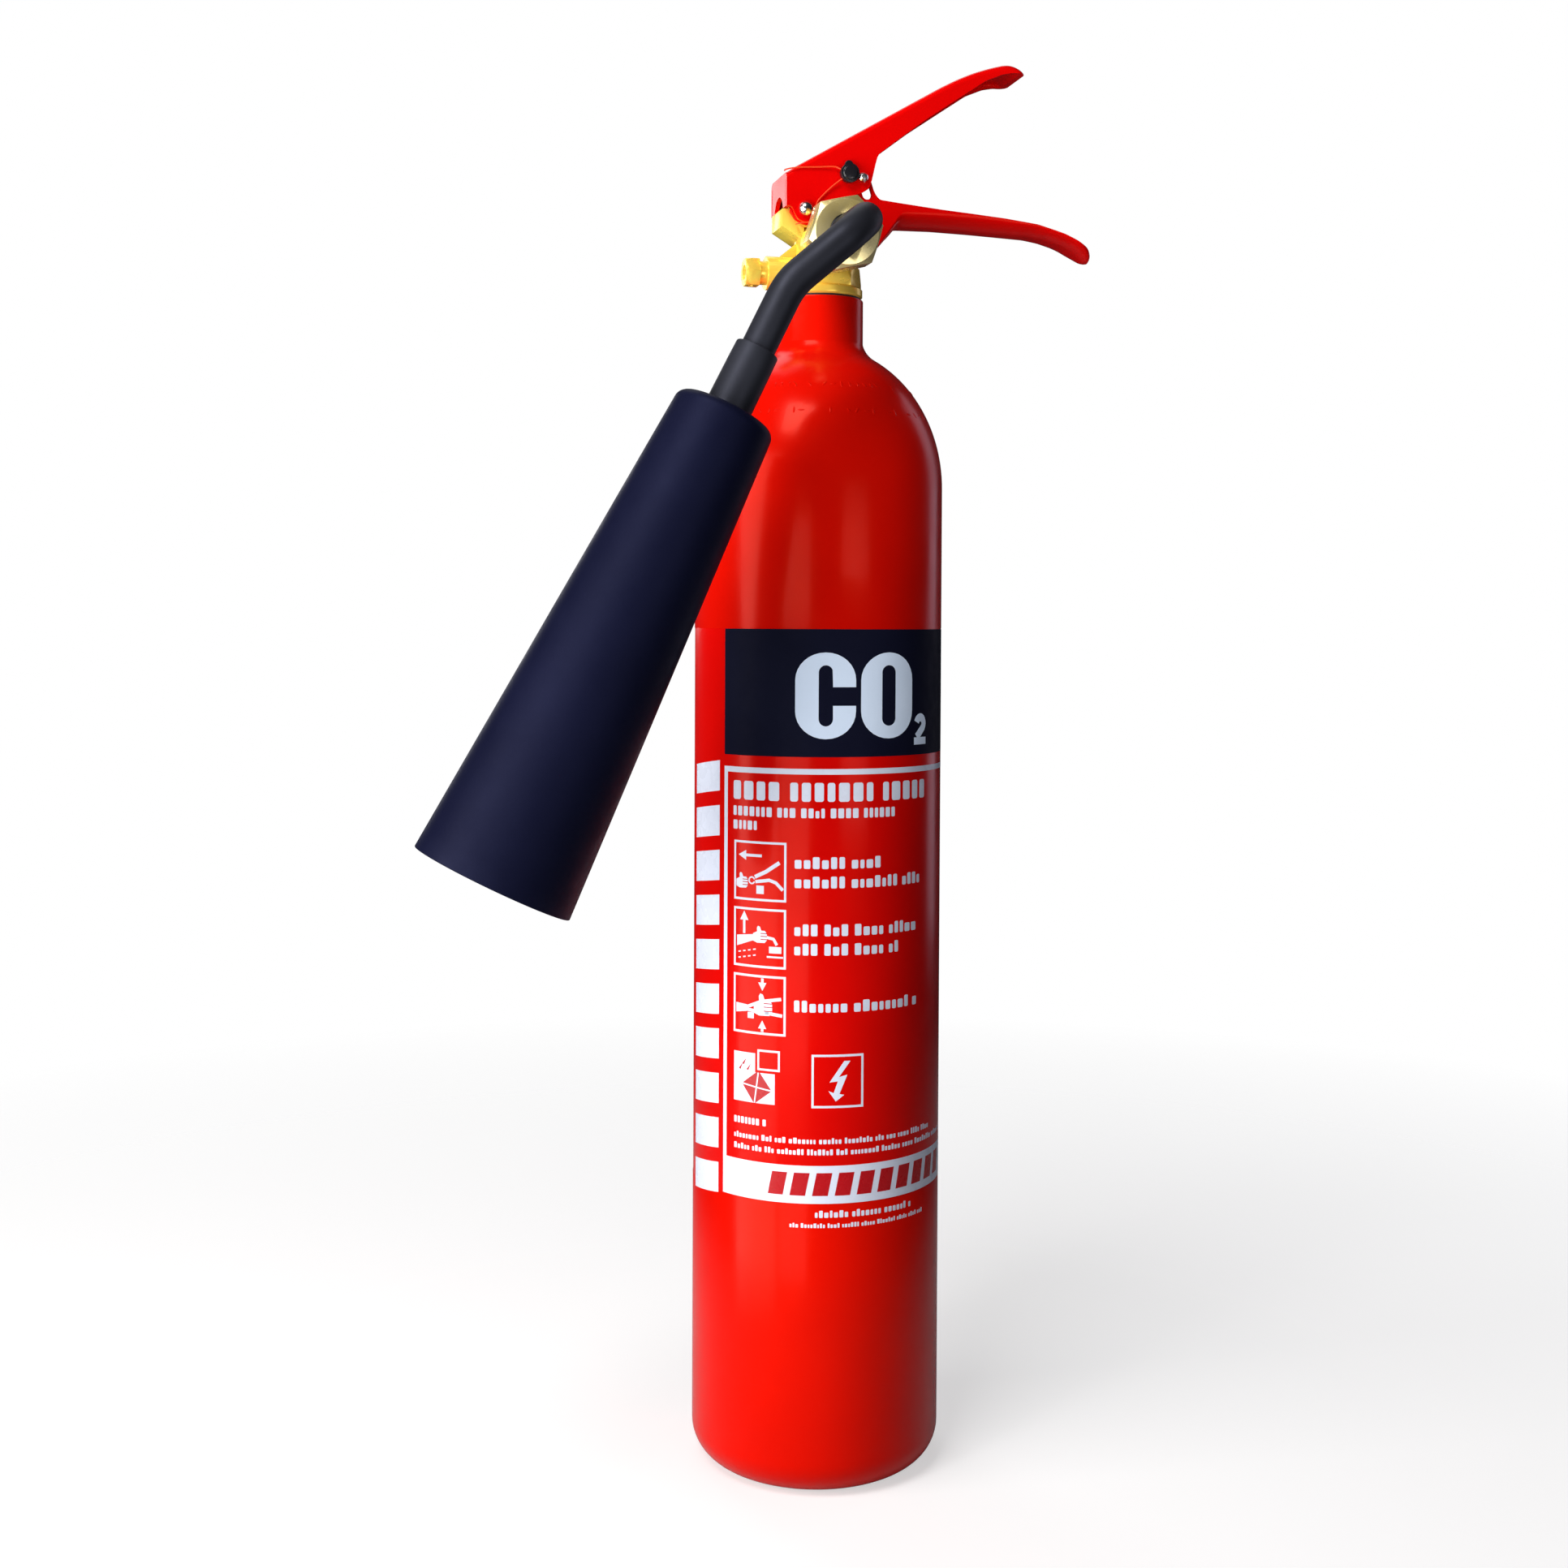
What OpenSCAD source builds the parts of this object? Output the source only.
// Portable carbon-dioxide fire extinguisher: aluminium cylinder, brass squeeze valve
// and a discharge horn on a swivelling bent tube. Millimetres, +Z up, base on Z = 0.
// The levers point along +X and the outlet faces -Y.

/* [Cylinder] */
// Outside diameter of the cylinder
cyl_od = 102; // [96:1:110]
// Height of the neck's top face
neck_top = 478; // [460:1:520]
// Thickness of the side wall
cyl_wall = 6.5; // [5:0.5:8]
// Outside diameter of the neck
neck_od = 36; // [35:0.5:40]
// Radius between the wall and the base
base_corner = 15; // [12:1:20]
// Height at which the shoulder starts
shoulder_z = 400.5; // [380:0.5:405]
// Vertical half-axis of the shoulder's ellipse
shoulder_rise = 59; // [55:0.5:62]

/* [Label] */
// Height of the label's lower edge
label_low = 118; // [100:1:140]
// Height of the label's upper edge
label_high = 343; // [320:1:370]

/* [Valve] */
// Height of the outlet's axis
outlet_z = 499; // [498:0.5:500]
// Across-flats size of the wrench hexagon
block_af = 31; // [29:0.5:32]
// Across-flats size of the swivel nut
nut_af = 27; // [26:0.5:30]

/* [Levers] */
// Outside width of the operating lever at its ears
lever_w = 25.4; // [25:0.1:27]
// Outside width of the carry handle
handle_w = 21; // [20:0.1:21]
// Thickness of the pressed sheet
sheet = 1.8; // [1.5:0.1:2]
// Diameter of the safety pin
pin_d = 3.9; // [3.5:0.1:4]

/* [Horn] */
// Outside diameter of the rubber-sleeved tube
sleeve_d = 13; // [12.6:0.1:13.6]
// Outside diameter of the horn's closed end
horn_top_d = 39; // [36:0.5:42]
// Outside diameter of the horn's mouth
horn_mouth_d = 61.5; // [56:0.5:61.5]
// Length of the horn
horn_len = 191.5; // [170:0.5:200]
// Thickness of the horn's wall
horn_wall = 2.2; // [1.8:0.1:3]

/* [Hidden] */
$fn = 64;

cyl_r = cyl_od / 2;
neck_r = neck_od / 2;
neck_bore_r = 12.6;
base_thick = 9;
foot_in_r = 25;
foot_out_r = cyl_r - base_corner;
base_hollow = 5;
neck_fillet = 6;
shoulder_wall = 1.25;
label_relief = 0.15;
label_from = -185.5;
label_to = 28.5;

seal_thick = 0.8;
flange_z = neck_top + seal_thick;
flange_top = 482.8;
block_top = 491.5;
column_r = 10.5;
head_z = 506.5;
head_top = 513.5;
head_half = 8.6;
tower_top = 519.2;
stem_r = 12.4;
stem_z = 452;
chamber_r = 6.5;
seat_z = 493;
guide_r = 3.06;
spindle_r = 3;
spindle_tip_z = 534.4;
burst_z = 488.5;
burst_face = -23.1;

pivot_x = -9.4;
pivot_z = 513.1;
pivot_r = 2.5;
lock_x = 14.5;
lock_z = 527;
rivet_x = 15.5;
rivet_z = 504.5;
lever_half = lever_w / 2;
lever_back = -17.5;
lever_end = 85.6;
lever_corner = 4;
handle_half = handle_w / 2;
handle_end = 118.4;
handle_corner = 8.5;
squeeze = 14;

nut_front = -41;
nut_back = -28.5;
plane_y = -80;
tilt = 26.5;
leg_drop = 40.4;
leg_len = 43.8;
elbow_r = 18;
knee_r = 30;
knee_angle = 90 - leg_drop - tilt;
knee_tangent = knee_r * tan(knee_angle / 2);
collar_at = 27.8;
horn_at = 53.3;
pipe_r = 5.3;
sleeve_r = sleeve_d / 2;
sleeve_bore_r = 5.5;
sleeve_start = -40.8;

eye_y = 20;
eye_r = 3.2;
eye_bore_r = 2.4;
seal_x = 8.6;
seal_z = 528.2;
ring_mid_r = 9.6;

leg_dir = [-cos(leg_drop), 0, -sin(leg_drop)];
horn_dir = [-sin(tilt), 0, -cos(tilt)];
ring_ref = [sin(leg_drop), 0, -cos(leg_drop)];
knee_corner = [0, plane_y, outlet_z] + leg_len * leg_dir;
knee_side = unit(horn_dir - (horn_dir * leg_dir) * leg_dir);
// Centre line through the elbow and the knee of the horn's tube
bent_run = concat(
    [for (a = [0:10:90]) [0, plane_y + elbow_r, outlet_z]
        + elbow_r * ([0, -sin(a), 0] + (1 - cos(a)) * leg_dir)],
    [for (i = [0:4]) let (a = i / 4 * knee_angle) knee_corner - knee_tangent * leg_dir
        + knee_r * (sin(a) * leg_dir + (1 - cos(a)) * knee_side)]);

// The seal line's points, from the disc to behind the lever's edges
upper_strand = [[4.79, -14.3, 529.52], [2, -13.7, 530.5], [-5, -13.5, 530], [-11, -13.4, 529.6],
    [-15.4, -13.4, 529.3], [-18, -13, 529], [-18.3, -11.5, 528.8]];
lower_strand = [[5.43, -14.3, 525.7], [2, -13.7, 523], [-2, -13.5, 519.2], [-4.9, -13.5, 515.5],
    [-5.4, -13.6, 511], [-7.5, -13.6, 508], [-11, -13.4, 507.2], [-12.6, -12, 507], [-12.8, -10, 507.2]];

// Points of the elliptic shoulder outside, or inside when the wall is taken off
function shoulder(rx, rz, from_r) = [for (i = [0:28])
    let (a = i / 28 * acos(from_r / rx)) [rx * cos(a), shoulder_z + rz * sin(a)]];

module cylinder_shell() color("red") {
    rx_in = cyl_r - cyl_wall;
    rz_in = shoulder_rise - cyl_wall * shoulder_wall;
    fillet_z = shoulder_z + shoulder_rise * sqrt(1 - pow((neck_r + neck_fillet * 0.75) / cyl_r, 2));
    rotate_extrude($fn = 128) difference() {
        union() {
            translate([0, base_corner]) square([cyl_r, label_low - base_corner]);
            translate([0, label_low]) square([cyl_r - label_relief, label_high - label_low]);
            translate([0, label_high]) square([cyl_r, shoulder_z - label_high]);
            square([foot_out_r, base_corner]);
            translate([foot_out_r, base_corner]) circle(r = base_corner);
            polygon(concat([[0, shoulder_z]], shoulder(cyl_r, shoulder_rise, neck_r), [[0, neck_top]]));
            translate([0, shoulder_z]) square([neck_r, neck_top - shoulder_z]);
            // Fillet that blends the shoulder into the neck
            difference() {
                translate([0, fillet_z - 4]) square([neck_r + neck_fillet, neck_fillet + 4.5]);
                translate([neck_r + neck_fillet, fillet_z + neck_fillet]) circle(r = neck_fillet);
                translate([neck_r + neck_fillet * 0.75, fillet_z - 5]) square([neck_fillet, 20]);
            }
        }
        // Concave middle of the base
        polygon([[-1, -1], [foot_in_r, -1], [foot_in_r, 0], [foot_in_r * 0.55, base_hollow * 0.75],
            [-1, base_hollow]]);
        // Gas space
        translate([-1, base_thick + 9]) square([rx_in + 1, shoulder_z - base_thick - 9]);
        translate([-1, base_thick]) square([rx_in - 9 + 1, 12]);
        translate([rx_in - 9, base_thick + 9]) circle(r = 9);
        polygon(concat([[-1, shoulder_z - 1]], [[rx_in, shoulder_z - 1]],
            shoulder(rx_in, rz_in, neck_bore_r), [[-1, shoulder_z + 1]]));
        translate([-1, shoulder_z]) square([neck_bore_r + 1, 200]);
        translate([-50, -50]) square([50, 700]);
    }
}

module label_film() color("darkred")
    rotate([0, 0, label_from]) translate([0, 0, label_low + 0.05])
        rotate_extrude(angle = label_to - label_from, $fn = 128)
            translate([cyl_r - label_relief + 0.01, 0])
                square([label_relief - 0.01, label_high - label_low - 0.1]);

module neck_seal() color("black")
    translate([0, 0, neck_top]) difference() {
        cylinder(r = neck_r - 1, h = seal_thick);
        translate([0, 0, -1]) cylinder(r = stem_r + 0.1, h = seal_thick + 2);
    }

module valve_body() color("goldenrod") difference() {
    union() {
        // Threaded stem, flange and wrench hexagon
        translate([0, 0, stem_z]) cylinder(r = stem_r, h = flange_z - stem_z);
        rotate_extrude() polygon([[0, flange_z], [neck_r - 1, flange_z], [neck_r - 0.3, flange_z + 0.7],
            [neck_r - 0.3, flange_top - 0.7], [neck_r - 1, flange_top], [0, flange_top]]);
        intersection() {
            translate([0, 0, flange_top])
                cylinder(r = block_af / 2 / cos(30), h = block_top - flange_top, $fn = 6);
            translate([0, 0, flange_top]) cylinder(r1 = 18.4, r2 = 16.6, h = block_top - flange_top);
        }
        translate([0, 0, block_top]) cylinder(r = column_r, h = head_z - block_top);
        // Head that carries the pivot, and the lug for the handle's front rivet
        translate([0, head_half, 0]) rotate([90, 0, 0]) linear_extrude(2 * head_half) {
            translate([-18.2, head_z]) square([39, head_top - head_z]);
            translate([pivot_x, pivot_z]) circle(r = 5.4);
            translate([pivot_x, head_top - 1]) square([9, 6.3]);
            translate([9, 499]) square([11.8, 12]);
            polygon([[-18.2, head_z], [-9, head_z], [-9, 501]]);
        }
        translate([0, 0, head_top]) cylinder(r = 7.4, h = tower_top - head_top);
        // Bosses: burst disc to -X, outlet to -Y
        translate([burst_face, 0, burst_z]) rotate([0, 90, 0]) cylinder(r = 6.85, h = 20);
        translate([0, -8, outlet_z]) rotate([90, 0, 0]) cylinder(r = column_r, h = 25);
        // Sloping rib from the burst boss to the column
        translate([0, 1.6, 0]) rotate([90, 0, 0]) linear_extrude(3.2)
            polygon([[-19, 494], [-9, 494], [-9, 502.5], [-10.4, 501]]);
    }
    // Inlet chamber, seat orifice, outlet chamber, spindle guide and gland recess
    translate([0, 0, stem_z - 1]) cylinder(r = chamber_r, h = seat_z - stem_z + 1);
    translate([0, 0, seat_z - 1]) cylinder(r = 3.2, h = 4);
    translate([0, 0, seat_z + 2]) cylinder(r = 5, h = 9);
    translate([0, 0, seat_z]) cylinder(r = guide_r, h = 40);
    translate([0, 0, 511.6]) cylinder(r = 5, h = 20);
    translate([0, 1, outlet_z]) rotate([90, 0, 0]) cylinder(r = 4.4, h = 40);
    translate([burst_face - 1, 0, burst_z]) rotate([0, 90, 0]) cylinder(r = 2.2, h = 20);
    translate([burst_face - 1, 0, burst_z]) rotate([0, 90, 0]) cylinder(r = 5, h = 6);
    translate([pivot_x, 20, pivot_z]) rotate([90, 0, 0]) cylinder(r = pivot_r + 0.02, h = 40);
    translate([rivet_x, 20, rivet_z]) rotate([90, 0, 0]) cylinder(r = 2.02, h = 40);
}

module dip_tube() color("silver")
    difference() {
        translate([0, 0, base_thick + 3]) cylinder(r = 5, h = 449 - base_thick);
        translate([0, 0, 0]) cylinder(r = 3.8, h = 500);
        // Slanted foot, so the tube can't seal against the base
        translate([-10, 0, base_thick + 3]) rotate([35, 0, 0]) translate([0, -20, -20]) cube([20, 40, 20]);
    }

module spring_retainer() color("goldenrod")
    translate([0, 0, 462.2]) difference() {
        cylinder(r = chamber_r - 0.03, h = 4.5);
        translate([0, 0, -1]) cylinder(r = 2.6, h = 7);
        translate([0, 0, -1]) cylinder(r = 5.05, h = 1.5);
    }

module return_spring() color("silver")
    for (turn = [0:6]) translate([0, 0, 467.4 + turn * 2.1])
        rotate_extrude() translate([4.6, 0]) circle(r = 0.65, $fn = 24);

module poppet() color("goldenrod")
    translate([0, 0, 481]) {
        cylinder(r = 5.6, h = 9.5);
        translate([0, 0, -4.5]) cylinder(r = 3.2, h = 4.5);
    }

module seat_disc() color("white")
    translate([0, 0, 490.5]) cylinder(r = 4.8, h = 2.2);

module valve_spindle() color("silver") {
    rotate_extrude() {
        translate([0, 492.7]) square([1.9, 12]);
        translate([0, 504.6]) square([spindle_r, spindle_tip_z - spindle_r - 504.6]);
        intersection() {
            translate([0, spindle_tip_z - spindle_r]) circle(r = spindle_r);
            translate([0, spindle_tip_z - 2 * spindle_r]) square([10, 10]);
        }
    }
}

module spindle_o_ring() color("black")
    translate([0, 0, 512.6]) rotate_extrude() translate([4, 0]) circle(r = 0.93, $fn = 24);

module gland_nut() color("goldenrod") difference() {
    union() {
        translate([0, 0, 513.6]) cylinder(r = 4.95, h = 6);
        translate([0, 0, tower_top]) cylinder(r = 6.9, h = 4.4, $fn = 6);
    }
    translate([0, 0, 500]) cylinder(r = guide_r, h = 40);
}

module burst_plug() color("goldenrod")
    translate([0, 0, burst_z]) rotate([0, -90, 0]) difference() {
        union() {
            translate([0, 0, 19.4]) cylinder(r = 4.95, h = 3.7);
            translate([0, 0, -burst_face]) cylinder(r = 4.8, h = 3.2);
            intersection() {
                translate([0, 0, 26.2]) rotate([0, 0, 90]) cylinder(r = 6.25, h = 5.8, $fn = 6);
                translate([0, 0, 26.2]) cylinder(r1 = 6.9, r2 = 5.7, h = 5.8);
            }
        }
        // Blind hollow in the head and the two cross vents that bleed it
        translate([0, 0, 24]) cylinder(r = 3, h = 10);
        translate([0, 0, 29.2]) rotate([0, 90, 0]) cylinder(r = 1.1, h = 20, center = true);
        translate([0, 0, 19]) cylinder(r = 1.6, h = 6);
    }

module burst_disc() color("silver")
    translate([-18.55, 0, burst_z]) rotate([0, -90, 0]) cylinder(r = 4.9, h = 0.4);

module burst_washer() color("peru")
    translate([-18.15, 0, burst_z]) rotate([0, -90, 0]) difference() {
        cylinder(r = 4.9, h = 0.4);
        translate([0, 0, -1]) cylinder(r = 2.4, h = 3);
    }

// Local frame of the outlet: origin on the swivel axis, local Z towards -Y
module outlet_frame() translate([0, 0, outlet_z]) rotate([90, 0, 0]) children();

module swivel_nut() color("gold") outlet_frame() difference() {
    intersection() {
        translate([0, 0, -nut_back]) rotate([0, 0, 13])
            cylinder(r = nut_af / 2 / cos(30), h = nut_back - nut_front, $fn = 6);
        rotate_extrude() polygon([[0, -nut_back], [13.6, -nut_back], [15.7, -nut_back + 1.2],
            [15.7, -nut_front - 1.8], [12.9, -nut_front - 0.2], [12.9, -nut_front], [0, -nut_front]]);
    }
    translate([0, 0, 20]) cylinder(r = column_r + 0.05, h = 18.4);
    translate([0, 0, 20]) cylinder(r = 7.1, h = 40);
}

module swivel_seal() color("white") outlet_frame()
    translate([0, 0, 33.05]) difference() {
        cylinder(r = 9.6, h = 1.6);
        translate([0, 0, -1]) cylinder(r = 4.6, h = 4);
    }

module swivel_tail() color("silver") outlet_frame() difference() {
    union() {
        translate([0, 0, 34.95]) cylinder(r = 9.6, h = 3.1);
        translate([0, 0, 36]) cylinder(r = 6.95, h = 4.6);
    }
    translate([0, 0, 30]) cylinder(r = 4.4, h = 20);
    translate([0, 0, 36.2]) cylinder(r = pipe_r + 0.03, h = 20);
}

module horn_tube() color("dimgray")
    pipe(concat([[0, -36.25, outlet_z]], bent_run, [knee_corner + (horn_at + 14) * horn_dir]), pipe_r, 3.6);

module tube_sleeve() color("#202228")
    pipe(concat([[0, sleeve_start, outlet_z]], bent_run, [knee_corner + 38 * horn_dir]),
        sleeve_r, sleeve_bore_r);

// Local frame of the horn: origin at the knee's corner, local Z down the horn
module horn_frame() translate([-leg_len * cos(leg_drop), plane_y, outlet_z - leg_len * sin(leg_drop)])
    rotate([0, 180 + tilt, 0]) children();

module horn_collar() color("#202228") horn_frame() difference() {
    rotate_extrude() polygon([[0, collar_at], [7.6, collar_at], [8.3, collar_at + 0.8],
        [8.7, horn_at - 0.05], [0, horn_at - 0.05]]);
    translate([0, 0, collar_at - 1]) cylinder(r = sleeve_r + 0.04, h = 11.4);
    translate([0, 0, collar_at]) cylinder(r = pipe_r + 0.05, h = 40);
}

module horn() color("#181a2c") {
    r0 = horn_top_d / 2;
    r1 = horn_mouth_d / 2;
    end = horn_at + horn_len;
    lip = 4;
    horn_frame() rotate_extrude($fn = 96) difference() {
        union() {
            polygon([[0, horn_at], [r0 - lip, horn_at], [r0, horn_at + lip], [r1, end], [0, end]]);
            translate([r0 - lip, horn_at + lip]) circle(r = lip);
        }
        polygon([[-1, horn_at + 3.2], [r0 - lip, horn_at + 3.2], [r0 - horn_wall, horn_at + lip + 2],
            [r1 - horn_wall, end + 0.01], [-1, end + 0.01]]);
        translate([-1, horn_at - 5]) square([pipe_r + 0.05 + 1, 20]);
        translate([-60, 0]) square([60, 400]);
    }
}

module horn_locknut() color("goldenrod") horn_frame() translate([0, 0, horn_at + 3.25]) difference() {
    cylinder(r = 9.2, h = 5, $fn = 6);
    translate([0, 0, -1]) cylinder(r = pipe_r + 0.03, h = 8);
}

module diffuser() color("goldenrod") horn_frame() translate([0, 0, horn_at + 8.3]) difference() {
    rotate_extrude() polygon([[0, 0], [7.5, 0], [7.5, 8], [5, 13], [0, 13]]);
    translate([0, 0, -1]) cylinder(r = pipe_r + 0.03, h = 7);
    translate([0, 0, 2]) cylinder(r = 4, h = 7.5);
    for (turn = [0:60:300]) rotate([0, 0, turn]) translate([0, 0, 8.5])
        rotate([0, 60, 0]) cylinder(r = 0.9, h = 12);
}

// A side outline in X and Z, drawn out across Y between two half widths
module across(half) translate([0, half, 0]) rotate([90, 0, 0]) linear_extrude(2 * half) children();

module pin_hole(x, z, r) translate([x, 30, z]) rotate([90, 0, 0]) cylinder(r = r, h = 60);

// Plan of a pressed lever: parallel sides and an end with rounded corners
module tongue(back, end, half, corner) {
    translate([back, -half]) square([end - corner - back, 2 * half]);
    translate([back, corner - half]) square([end - back, 2 * (half - corner)]);
    for (side = [-1, 1]) translate([end - corner, side * (half - corner)]) circle(r = corner);
}

module handle_plan(inset) tongue(-40, handle_end - inset, handle_half - inset, handle_corner - inset);

module carry_handle() color("crimson") difference() {
    intersection() {
        across(handle_half + 2) {
            translate([pivot_x, pivot_z]) circle(r = 5.9);
            // Ears around the valve's head, then the grip and its drooping tip
            polygon([[-9.4, 507.2], [11, 507.2], [15, 498.5], [21, 498.2], [28, 505.5], [31.5, 509.8],
                [49.2, 509.7], [63.4, 509.4], [90.6, 508.5], [97.9, 507.6], [105.4, 505.6], [109.2, 504.1],
                [112.9, 502], [116.7, 499], [117.5, 498.6], [118.4, 500], [118, 502], [115.6, 504.2],
                [109.5, 507.4], [104.5, 509.5], [99.5, 510.9], [92, 512.8],
                [77.7, 514.4], [49.1, 516.5], [31.5, 518.1], [22.4, 518.6], [19.6, 522.6], [17.6, 531.5],
                [9.5, 531.5], [-9.4, 519]]);
        }
        translate([0, 0, 400]) linear_extrude(200) handle_plan(0);
    }
    // Hollow of the channel, open at the top
    intersection() {
        across(handle_half)
            polygon([[-39, 400], [26, 400], [24, 508], [30, 511.7], [49.2, 511.5], [63.4, 511.2],
                [90.6, 510.3], [97.9, 509.5], [105.4, 507.6], [109.2, 506.2], [112.9, 504.1], [116, 502],
                [116, 560], [-39, 560]]);
        translate([0, 0, 390]) linear_extrude(200) handle_plan(sheet);
    }
    pin_hole(pivot_x, pivot_z, pivot_r + 0.02);
    pin_hole(rivet_x, rivet_z, 2.02);
    pin_hole(0, outlet_z, column_r + 0.8);
    // Arc slot that the safety pin's shank sweeps through
    translate([pivot_x, 30, pivot_z]) rotate([90, 0, 0]) linear_extrude(60) lock_slot();
}

function arc(centre, r, from, to, steps) =
    [for (i = [0:steps]) let (a = from + (to - from) * i / steps) centre + r * [cos(a), sin(a)]];

// Outline of the arc slot, around the pivot
module lock_slot() {
    reach = sqrt(pow(lock_x - pivot_x, 2) + pow(lock_z - pivot_z, 2));
    top = atan2(lock_z - pivot_z, lock_x - pivot_x);
    low = top - squeeze;
    half = pin_d / 2 + 0.35;
    polygon(concat(
        arc([0, 0], reach + half, low, top, 8),
        arc(reach * [cos(top), sin(top)], half, top + 15, top + 165, 10),
        arc([0, 0], reach - half, top, low, 8),
        arc(reach * [cos(low), sin(low)], half, low + 195, low + 345, 10)));
}

// A pin across Y with a domed head of radius head at each end
module rivet(x, z, r, half, head) translate([x, 0, z]) rotate([90, 0, 0]) {
    cylinder(r = r, h = 2 * half, center = true);
    for (side = [0, 180]) rotate([side, 0, 0]) translate([0, 0, half]) intersection() {
        sphere(r = head);
        translate([0, 0, head]) cube(2 * head, center = true);
    }
}

module handle_rivet() color("silver") rivet(rivet_x, rivet_z, 2, handle_half, 3);

module pivot_rivet() color("silver") rivet(pivot_x, pivot_z, pivot_r, lever_half + 0.1, 3.1);

module lever_plan(inset)
    tongue(lever_back + inset, lever_end - inset, lever_half - inset, lever_corner - inset);

module operating_lever() color("crimson") difference() {
    intersection() {
        across(lever_half) {
            polygon([[-17.5, 514], [-15.2, 514], [-12.9, 508.9], [-9.4, 507.6], [-4, 511], [1.4, 517.4],
                [6.9, 518.6], [13.8, 520.6], [16.6, 522], [17.9, 524], [20.9, 536.8], [27.5, 541.8],
                [41.5, 552.4], [55.5, 562], [67.6, 570.2], [75.1, 573.4], [80, 574.6], [85.6, 574.7],
                [85, 576.3], [81, 577.9], [76.9, 578.2], [69.7, 576.2], [62.6, 573.4], [55.5, 570.2],
                [48.4, 566.4], [-14.5, 529.4], [-17.5, 526.6]]);
            translate([pivot_x, pivot_z]) circle(r = 5.6);
        }
        translate([0, 0, 400]) linear_extrude(200) lever_plan(0);
    }
    // Hollow of the channel, open at the bottom
    intersection() {
        across(lever_half - sheet)
            polygon([[-15.9, 500], [-15.9, 526], [48.4, 563.8], [55.5, 567.8], [62.6, 571.2], [69.7, 574.1],
                [76.9, 576.2], [82, 575.4], [82, 560], [60, 500]]);
        translate([0, 0, 400]) linear_extrude(200) lever_plan(sheet);
    }
    // Arched notch in the rear tab, which clears the valve's head
    translate([-20, 0, 512.6]) rotate([0, 90, 0]) cylinder(r = 7, h = 4.2);
    pin_hole(pivot_x, pivot_z, pivot_r + 0.05);
    pin_hole(lock_x, lock_z, pin_d / 2 + 0.05);
}

module safety_pin() color("silver") {
    r = pin_d / 2;
    translate([lock_x, eye_y - eye_r, lock_z]) rotate([90, 0, 0]) cylinder(r = r, h = eye_y - eye_r + 14.4);
    translate([lock_x, -14.4, lock_z]) rotate([90, 0, 0]) cylinder(r1 = r, r2 = r - 0.8, h = 0.9);
    translate([lock_x, eye_y, lock_z]) rotate([0, 90, 0]) rotate_extrude() difference() {
        translate([eye_r, 0]) circle(r = 1, $fn = 32);
        translate([0, -2]) square([eye_bore_r, 4]);
    }
}

module pull_ring() color("silver")
    translate([lock_x, eye_y, lock_z - ring_mid_r]) rotate([90, 0, 0])
        rotate_extrude() translate([ring_mid_r, 0]) circle(r = 0.8, $fn = 32);

module tamper_seal() color("#101014")
    translate([seal_x, -12.85, seal_z]) rotate([90, 0, 0]) {
        cylinder(r = 3.9, h = 2.6);
        translate([-0.4, 3.4, 0.4]) cylinder(r = 1.7, h = 1.7);
        rotate_extrude() polygon([[0, 2.5], [3.2, 2.5], [2.6, 3.1], [0, 3.3]]);
    }

function unit(v) = v / norm(v);
function stretch(path, i) = unit(path[i + 1] - path[i]);

// Direction that halves the bend at point i, whatever the lengths on each side
function heading(path, i) =
    unit(stretch(path, min(i, len(path) - 2)) + stretch(path, max(i - 1, 0)));

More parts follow.
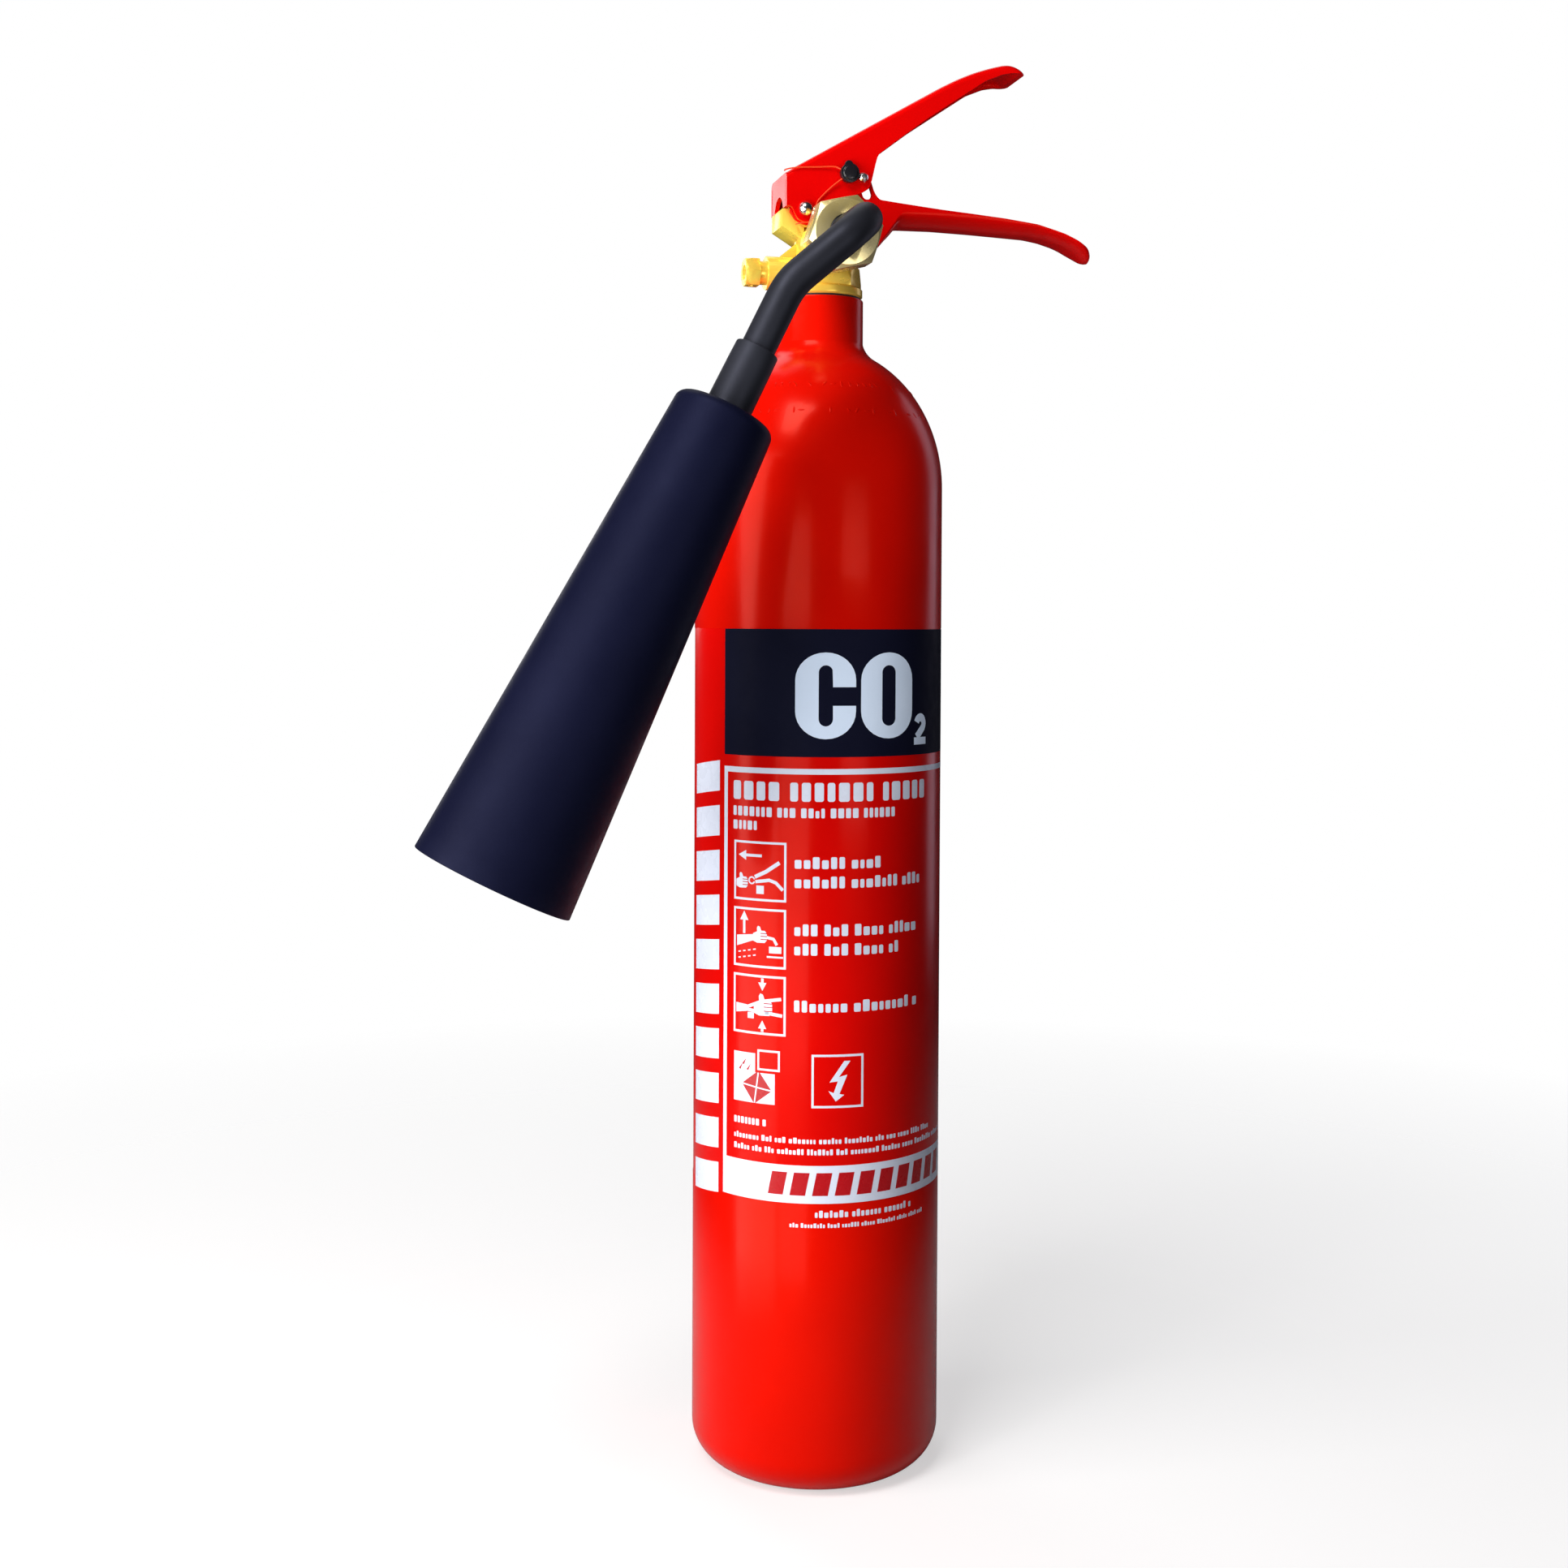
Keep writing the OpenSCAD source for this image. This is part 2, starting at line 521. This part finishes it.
// A ring of points around point i; ring_ref keeps the rings from twisting along the tube
function cord_ring(path, i, r, sides) =
    let (d = heading(path, i), u = unit(cross(d, ring_ref)), v = cross(d, u))
    [for (k = [0:sides - 1]) path[i] + r * (u * cos(k * 360 / sides) + v * sin(k * 360 / sides))];

// Round cord of radius r through the points of path
module cord(path, r, sides = 8) {
    last = len(path) - 1;
    polyhedron(
        points = [for (i = [0:last]) each cord_ring(path, i, r, sides)],
        faces = concat([[for (k = [sides - 1:-1:0]) k]], [[for (k = [0:sides - 1]) last * sides + k]],
            [for (i = [0:last - 1], k = [0:sides - 1]) let (n = (k + 1) % sides)
                [i * sides + k, i * sides + n, (i + 1) * sides + n, (i + 1) * sides + k]]));
}

// Hollow pipe with outer radius r along the points of path
module pipe(path, r, bore, sides = 16) {
    last = len(path) - 1;
    inner = len(path) * sides;
    polyhedron(
        points = concat([for (i = [0:last]) each cord_ring(path, i, r, sides)],
            [for (i = [0:last]) each cord_ring(path, i, bore, sides)]),
        faces = concat(
            [for (i = [0:last - 1], k = [0:sides - 1]) let (n = (k + 1) % sides)
                [i * sides + k, i * sides + n, (i + 1) * sides + n, (i + 1) * sides + k]],
            [for (i = [0:last - 1], k = [0:sides - 1]) let (n = (k + 1) % sides)
                [inner + i * sides + n, inner + i * sides + k,
                    inner + (i + 1) * sides + k, inner + (i + 1) * sides + n]],
            [for (k = [0:sides - 1]) let (n = (k + 1) % sides) [n, k, inner + k, inner + n]],
            [for (k = [0:sides - 1]) let (n = (k + 1) % sides, e = last * sides)
                [e + k, e + n, inner + e + n, inner + e + k]]));
}

module seal_line() color("orangered") {
    cord(upper_strand, 0.32);
    cord(lower_strand, 0.32);
}

cylinder_shell();
label_film();
neck_seal();
valve_body();
dip_tube();
spring_retainer();
return_spring();
poppet();
seat_disc();
valve_spindle();
spindle_o_ring();
gland_nut();
burst_plug();
burst_disc();
burst_washer();
swivel_nut();
swivel_seal();
swivel_tail();
horn_tube();
tube_sleeve();
horn_collar();
horn();
diffuser();
horn_locknut();
carry_handle();
handle_rivet();
pivot_rivet();
operating_lever();
safety_pin();
pull_ring();
tamper_seal();
seal_line();
